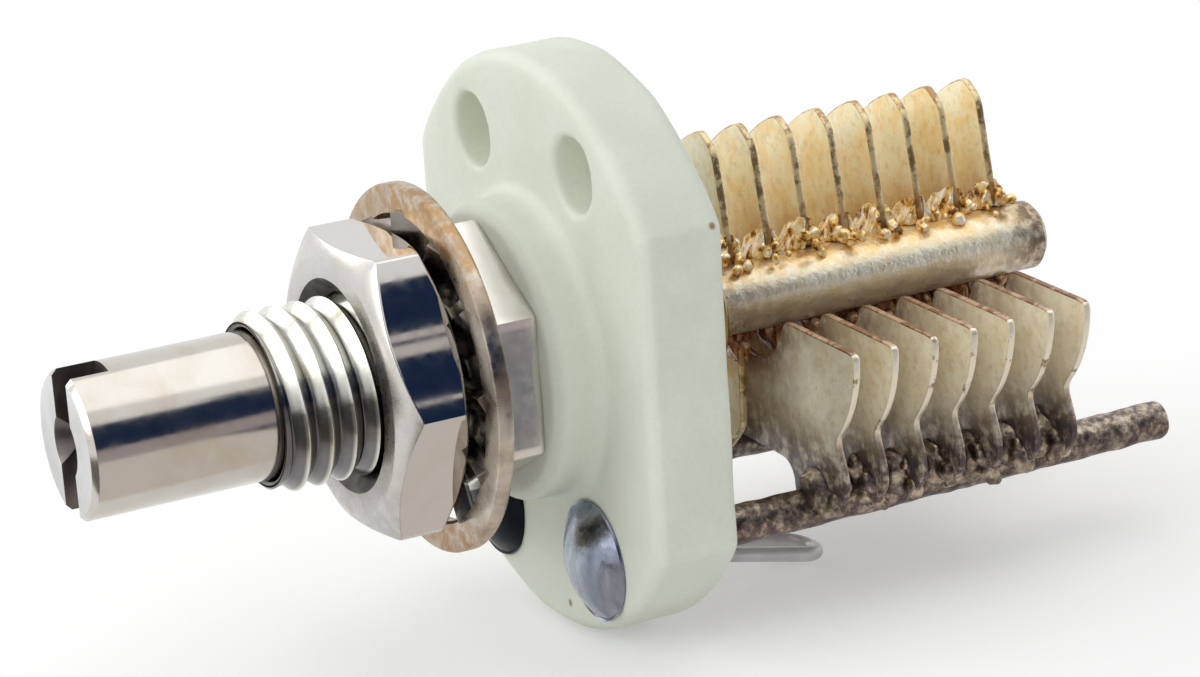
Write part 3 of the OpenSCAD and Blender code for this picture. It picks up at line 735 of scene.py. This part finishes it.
def make_plate(kind, number, tilt):
    """A sheet with an evened outline and rounded edges, tilted by degrees about X and Z at its root."""
    node = f"{kind}_plate_{number}"
    low, high = box_mm(node)
    flat = cad_copy(node)
    cap = max((f for f in flat.faces if f.normal.y < -0.9), key=lambda f: f.calc_area())
    outline = evened([(v.co.x, v.co.z) for v in cap.verts], OUTLINE_STEP, OUTLINE_ROUNDS)
    flat.free()
    count = len(outline)
    inward = []
    for k in range(count):
        along = (outline[(k + 1) % count] - outline[k - 1]).normalized()
        inward.append(Vector((-along.y, along.x)))
    area = sum(a.x * b.y - b.x * a.y for a, b in zip(outline, outline[1:] + outline[:1]))
    side = 1 if area > 0 else -1
    edge, knee = 0.06, 0.018
    bm = bmesh.new()
    rings = []
    for y, inset in ((low.y, edge), (low.y + knee, knee), (low.y + edge, 0), (high.y - edge, 0),
                     (high.y - knee, knee), (high.y, edge)):
        points = [p + n * side * inset for p, n in zip(outline, inward)]
        rings.append([bm.verts.new((p.x, y, p.y)) for p in points])
    for a, b in zip(rings, rings[1:]):
        for k in range(count):
            n = (k + 1) % count
            # edges that face up have a material of their own, toned by the way they face: painted light on
            # the rotor, a little lighter, and painted shade on the stator, darker
            upward = -inward[k].y * side > 0.8
            bm.faces.new((a[k], a[n], b[n], b[k])).material_index = 2 if upward else 1
    bm.faces.new(rings[0])
    bm.faces.new(rings[-1])
    root = Vector((0, (low.y + high.y) / 2, 0 if kind == "rotor" else ROD_Z))
    lean = (Matrix.Translation(root) @ Matrix.Rotation(math.radians(tilt[0]), 4, "X")
            @ Matrix.Rotation(math.radians(tilt[1]), 4, "Z") @ Matrix.Translation(-root))
    bmesh.ops.transform(bm, matrix=lean, verts=bm.verts)
    finished(f"{kind}_sheet_{number}", bm, [kind, f"{kind}_edge", f"{kind}_top"], kind, node,
             sharp=40)


def blob(bm, at, size):
    """A drop, its radius given along X, Y and Z."""
    made = bmesh.ops.create_icosphere(bm, subdivisions=2, radius=1)
    for v in made["verts"]:
        v.co = Vector(at) + Vector((v.co.x * size[0], v.co.y * size[1], v.co.z * size[2]))


def make_rotor_solder(rng):
    """Rough drops on both faces of each rotor plate and between the plates, over the CAD solder."""
    bm = cad_copy("rotor_solder")
    for low, high in ROTORS:
        # a row of drops on each face, round the blade's side of the spindle
        for y, way in ((low.y, -1), (high.y, 1)):
            for turn in range(-110, 115, 16):
                turn = math.radians(turn + rng.uniform(-6, 6))
                r = SPINDLE_R + rng.uniform(0.02, 0.62)
                size = rng.uniform(0.14, 0.27)
                at = (-r * math.cos(turn), y + way * rng.uniform(0.0, 0.18), r * math.sin(turn))
                blob(bm, at, (size, size * rng.uniform(0.7, 1.0), size))
        # larger drops on the spindle before the next plate
        for turn in (-60, -20, 20):
            turn = math.radians(turn + rng.uniform(-15, 15))
            at = (-SPINDLE_R * math.cos(turn), high.y + rng.uniform(0.4, 0.7), SPINDLE_R * math.sin(turn))
            if high.y < ROTORS[-1][0].y:
                blob(bm, at, (0.30, 0.5, 0.30))
    bm = remeshed(bm, SOLDER_VOXEL, 2)
    for v in bm.verts:
        # no lump reaches past the solder that the solids hold
        out = math.hypot(v.co.x, v.co.z)
        if out > SOLDER_REACH:
            v.co.x, v.co.z = v.co.x * SOLDER_REACH / out, v.co.z * SOLDER_REACH / out
    lumpy(bm, 1.5, 0.10)
    lumpy(bm, 3.5, 0.04)
    finished("rotor_solder_lumps", bm, ["rotor_solder"], "rotor", "rotor_solder", sharp=60)


def make_stator_solder(side, name, rng):
    """Rough drops at the feet of the stator plates, on one rod."""
    node = f"stator_solder_{name}"
    bm = cad_copy(node)
    x = side * ROD_X
    for low, high in STATORS:
        # drops on both faces of the foot
        for y, way in ((low.y, -1), (high.y, 1)):
            for _ in range(7):
                size = rng.uniform(0.20, 0.36)
                at = (x + side * rng.uniform(-0.3, 1.45), y + way * rng.uniform(0, 0.2),
                      ROD_Z + rng.uniform(0.0, 1.35))
                blob(bm, at, (size, size * 0.8, size))
        # drops along the rod towards the next plate, then two that fill the foot's corners
        middle = (low.y + high.y) / 2
        for _ in range(3):
            at = (x + side * rng.uniform(0.1, 0.55), middle + rng.uniform(0.3, 1.1),
                  ROD_Z + rng.uniform(0.0, 0.5))
            blob(bm, at, (0.32, rng.uniform(0.3, 0.5), 0.32))
        blob(bm, (x + side * 0.35, middle, ROD_Z + 0.4), (0.85, rng.uniform(0.5, 0.66), 0.5))
        blob(bm, (x + side * 1.3, middle, ROD_Z + rng.uniform(0.2, 0.7)), (0.38, 0.30, rng.uniform(0.4, 0.6)))
    bm = remeshed(bm, SOLDER_VOXEL, 2)
    lumpy(bm, 2.4, 0.06)
    finished(f"stator_solder_lumps_{name}", bm, ["stator_solder"], "stator", node, sharp=60)


def make_rod(side, name):
    """A domed head, the neck in the base, a swaged ring and a long lumpy tail."""
    low, high = box_mm(f"stator_rod_{name}")
    front, rear = low.y, high.y
    ball = (HEAD_R ** 2 + HEAD_H ** 2) / (2 * HEAD_H)
    rows = []
    dome = 14
    for k in range(dome + 1):
        r = 0.02 + (HEAD_R - 0.1) * k / dome
        rows.append((r, front + ball - math.sqrt(ball ** 2 - r ** 2)))
    rows += [(HEAD_R - 0.03, BASE_FRONT - 0.12), (HEAD_R, BASE_FRONT - 0.05), (HEAD_R - 0.02, BASE_FRONT),
             (NECK_R, BASE_FRONT), (NECK_R, BASE_REAR), (SWAGE_R - 0.06, BASE_REAR),
             (SWAGE_R, BASE_REAR + 0.08), (SWAGE_R, BASE_REAR + SWAGE_T - 0.12),
             (SWAGE_R - 0.1, BASE_REAR + SWAGE_T),
             (ROD_R + 0.1, BASE_REAR + SWAGE_T), (ROD_R, BASE_REAR + SWAGE_T + 0.08)]
    first = BASE_REAR + SWAGE_T + 0.2
    last = rear - 0.16
    rows += [(ROD_R, first + (last - first) * k / ROD_STEPS) for k in range(ROD_STEPS + 1)]
    rows += [(ROD_R - 0.04, rear - 0.06), (ROD_R - 0.13, rear), (0.02, rear)]
    bm = bmesh.new()
    rings = swept(bm, rows, 48, closed=False)
    bm.faces.new(rings[0])
    bm.faces.new(rings[-1])
    lumpy(bm, 1.5, 0.05, lambda co: 1 if co.y > first else 0.15 if co.y < BASE_FRONT else 0)
    bmesh.ops.translate(bm, vec=(side * ROD_X, 0, ROD_Z), verts=bm.verts)
    for face in bm.faces:
        face.material_index = 0 if face.calc_center_median().y > BASE_FRONT + 0.01 else 1
    # the far rod's head gets the painted shade
    head = "head" if side > 0 else "head_painted_dark_as_shade"
    finished(f"rod_{name}", bm, ["rod", head], "stator", f"stator_rod_{name}", sharp=40)


def make_plain(node, name, material, body, bevel):
    """A CAD node as it is, with its edges rounded."""
    bm = cad_copy(node)
    if bevel:
        soften(bm, bevel, 35)
    finished(name, bm, [material], body, node, sharp=35)


rng = random.Random(7)
make_base()
make_bushing()
make_nut()
make_washer()
make_shaft()
for n in range(1, 9):
    make_plate("rotor", n, (rng.uniform(-0.5, 0.5), rng.uniform(-0.5, 0.5)))
for n in range(1, 8):
    make_plate("stator", n, (rng.uniform(-0.4, 0.4), 0))
make_rotor_solder(rng)
make_stator_solder(1, "near", rng)
make_stator_solder(-1, "far", rng)
make_rod(1, "near")
make_rod(-1, "far")
make_plain("rotor_collar", "collar_body", "brass", "rotor", 0.05)
make_plain("contact_spring", "contact_washer", "bronze", "stator", 0.03)
make_plain("rotor_terminal", "terminal_wire", "wire", "stator", 0)


# ---------------------------------------------------------------- floor, light and camera

def card_material(name, colour):
    """An even colour that takes no light."""
    mat = bpy.data.materials.new(name)
    mat.use_nodes = True
    nodes, links = mat.node_tree.nodes, mat.node_tree.links
    nodes.remove(nodes["Principled BSDF"])
    glow = nodes.new("ShaderNodeEmission")
    glow.inputs["Color"].default_value = (*colour, 1)
    glow.inputs["Strength"].default_value = 1.0
    links.new(glow.outputs[0], nodes["Material Output"].inputs["Surface"])
    return mat


def seen_directly(tree):
    """1 for what the camera, a mirror or clear glass sees, 0 for soft light."""
    path = tree.nodes.new("ShaderNodeLightPath")
    total = path.outputs["Is Camera Ray"]
    for other in ("Is Glossy Ray", "Is Transmission Ray"):
        add = tree.nodes.new("ShaderNodeMath")
        add.operation = "MAXIMUM"
        tree.links.new(total, add.inputs[0])
        tree.links.new(path.outputs[other], add.inputs[1])
        total = add.outputs[0]
    return total


def make_floor():
    """Plain pale floor that keeps the shadow, lifted towards white where it is seen directly."""
    mesh = bpy.data.meshes.new("floor")
    reach, level = 3.0, cad_box[0][2] - 0.00002  # metres, a hair below the lowest point
    corners = [(-reach, -reach), (reach, -reach), (reach, reach), (-reach, reach)]
    mesh.from_pydata([(x, y, level) for x, y in corners], [], [(0, 1, 2, 3)])
    floor = bpy.data.objects.new("floor", mesh)
    bpy.context.scene.collection.objects.link(floor)
    mat = bpy.data.materials.new("white_floor")
    mat.use_nodes = True
    nodes, links = mat.node_tree.nodes, mat.node_tree.links
    paper = nodes["Principled BSDF"]
    paper.inputs["Base Color"].default_value = (0.80, 0.80, 0.80, 1)
    paper.inputs["Roughness"].default_value = 1.0
    paper.inputs["Specular IOR Level"].default_value = 0.0
    glow = nodes.new("ShaderNodeEmission")
    share = nodes.new("ShaderNodeMath")
    share.operation = "MULTIPLY"
    share.inputs[1].default_value = FLOOR_GLOW
    links.new(seen_directly(mat.node_tree), share.inputs[0])
    links.new(share.outputs[0], glow.inputs["Strength"])
    add = nodes.new("ShaderNodeAddShader")
    links.new(paper.outputs[0], add.inputs[0])
    links.new(glow.outputs[0], add.inputs[1])
    links.new(add.outputs[0], nodes["Material Output"].inputs["Surface"])
    mesh.materials.append(mat)


def make_world():
    """Soft light all round, white where it is seen directly."""
    world = bpy.data.worlds.new("studio")
    bpy.context.scene.world = world
    world.use_nodes = True
    nodes, links = world.node_tree.nodes, world.node_tree.links
    nodes.clear()
    soft = nodes.new("ShaderNodeBackground")
    soft.inputs["Color"].default_value = (0.98, 0.99, 1.0, 1)
    soft.inputs["Strength"].default_value = SOFT_LIGHT
    white = nodes.new("ShaderNodeBackground")
    white.inputs["Color"].default_value = (1, 1, 1, 1)
    white.inputs["Strength"].default_value = 1.0
    mix = nodes.new("ShaderNodeMixShader")
    links.new(seen_directly(world.node_tree), mix.inputs[0])
    links.new(soft.outputs[0], mix.inputs[1])
    links.new(white.outputs[0], mix.inputs[2])
    out = nodes.new("ShaderNodeOutputWorld")
    links.new(mix.outputs[0], out.inputs["Surface"])


def aimed(obj, at, target):
    """Places an object so that it faces the target."""
    obj.location = at
    obj.rotation_euler = (Vector(at) - Vector(target)).to_track_quat("Z", "Y").to_euler()
    bpy.context.scene.collection.objects.link(obj)


def softbox(name, at, size, glow, colour=(1, 1, 1)):
    """An area light that shows in metal as a panel of the given brightness."""
    lamp = bpy.data.lights.new(name, "AREA")
    lamp.shape = "RECTANGLE"
    lamp.size, lamp.size_y = size
    lamp.color = colour
    lamp.energy = glow * math.pi * size[0] * size[1]
    aimed(bpy.data.objects.new(name, lamp), at, MIDDLE)


def reflected_card(name, corners, colour):
    """A flat card of the room round the object, seen only by what is shiny."""
    mesh = bpy.data.meshes.new(name)
    mesh.from_pydata([Vector(c) * MM for c in corners], [], [(0, 1, 2, 3)])
    mesh.materials.append(card_material(name, colour))
    card = bpy.data.objects.new(name, mesh)
    bpy.context.scene.collection.objects.link(card)
    for ray in ("camera", "diffuse", "transmission", "volume_scatter", "shadow"):
        setattr(card, f"visible_{ray}", False)


def upright_card(name, x, y_range, z_range, colour):
    """A reflected card that stands beside the object, in millimetres."""
    (y0, y1), (z0, z1) = y_range, z_range
    reflected_card(name, [(x, y0, z0), (x, y1, z0), (x, y1, z1), (x, y0, z1)], colour)


def flat_card(name, x_range, y_range, z, colour):
    """A reflected card that lies beside the object, in millimetres."""
    (x0, x1), (y0, y1) = x_range, y_range
    reflected_card(name, [(x0, y0, z), (x1, y0, z), (x1, y1, z), (x0, y1, z)], colour)


SOFT_LIGHT = 0.56
FLOOR_GLOW = 0.30
MIDDLE = (0, 0.004, 0)     # the point that the lights face, in metres
make_floor()
make_world()
softbox("overhead", (-0.05, 0.22, 0.60), (0.75, 0.55), 0.60)
softbox("front", (-0.05, -0.62, 0.38), (0.6, 0.5), 1.75, (1.0, 0.995, 0.97))
softbox("front_right", (0.55, -0.36, 0.26), (0.3, 0.3), 1.0, (1.0, 0.99, 0.96))
softbox("left", (-0.60, -0.30, 0.32), (0.4, 0.4), 1.6, (1.0, 0.99, 0.95))

# the dark room, the bars of its window and the table, as shiny metal shows them
ROOM = (0.012, 0.026, 0.070)
PALE = (0.66, 0.62, 0.60)
ROOM_X = 38
FLOOR_Z = cad_box[0][2] / MM
# the window's strips: lower edge, upper edge and tone
WINDOW = ((28.0, 29.7, ROOM), (29.7, 29.95, PALE), (29.95, 32.7, ROOM), (32.7, 33.4, PALE),
          (33.4, 33.65, ROOM), (33.65, 34.1, PALE), (34.1, 37.3, ROOM))
upright_card("room_by_shaft", ROOM_X, (-40, 14.2), (2.5, 31), ROOM)
upright_card("room_by_nut", ROOM_X, (14.2, 60), (2.5, 28), ROOM)
for k, (z0, z1, tone) in enumerate(WINDOW):
    upright_card(f"window_{k}", ROOM_X, (14.2, 60), (z0, z1), tone)
upright_card("room_foot", ROOM_X, (-40, 60), (FLOOR_Z, 2.5), (0.42, 0.37, 0.38))
flat_card("table_near", (3, ROOM_X), (-14, 60), FLOOR_Z + 0.05, (0.74, 0.68, 0.63))
flat_card("table_front", (3, ROOM_X), (-60, -14), FLOOR_Z + 0.05, (0.18, 0.17, 0.15))
flat_card("table_dark", (21, ROOM_X), (8, 45), FLOOR_Z + 0.1, (0.10, 0.11, 0.14))
flat_card("table_left", (-36, -12), (-42, -10), FLOOR_Z + 0.05, (0.40, 0.38, 0.35))


def make_camera():
    """The viewing angle, worked out as azimuth, elevation, roll and distance about a point on the shaft."""
    azimuth, elevation, roll = math.radians(63.657), math.radians(18.21), math.radians(-3.735)
    distance, lens, sensor = 122.82, 112.9, 36
    target = Vector((0, 7.75, 0))
    beside, above = 1.748, 0.720  # where the target lies right of the picture's middle, and above it
    back = Vector((math.sin(azimuth) * math.cos(elevation), -math.cos(azimuth) * math.cos(elevation),
                   math.sin(elevation)))
    level = Vector((math.cos(azimuth), math.sin(azimuth), 0))
    upright = back.cross(level)
    right = math.cos(roll) * level + math.sin(roll) * upright
    up = math.cos(roll) * upright - math.sin(roll) * level
    data = bpy.data.cameras.new("camera")
    data.sensor_width, data.lens = sensor, lens
    data.clip_start, data.clip_end = 0.005, 20
    camera = bpy.data.objects.new("camera", data)
    turn = Matrix((right, up, back)).transposed().to_4x4()
    at = (target + back * distance - right * beside - up * above) * MM
    camera.matrix_world = Matrix.Translation(at) @ turn
    bpy.context.scene.collection.objects.link(camera)
    bpy.context.scene.camera = camera


make_camera()
bpy.context.scene.view_settings.view_transform = "Standard"
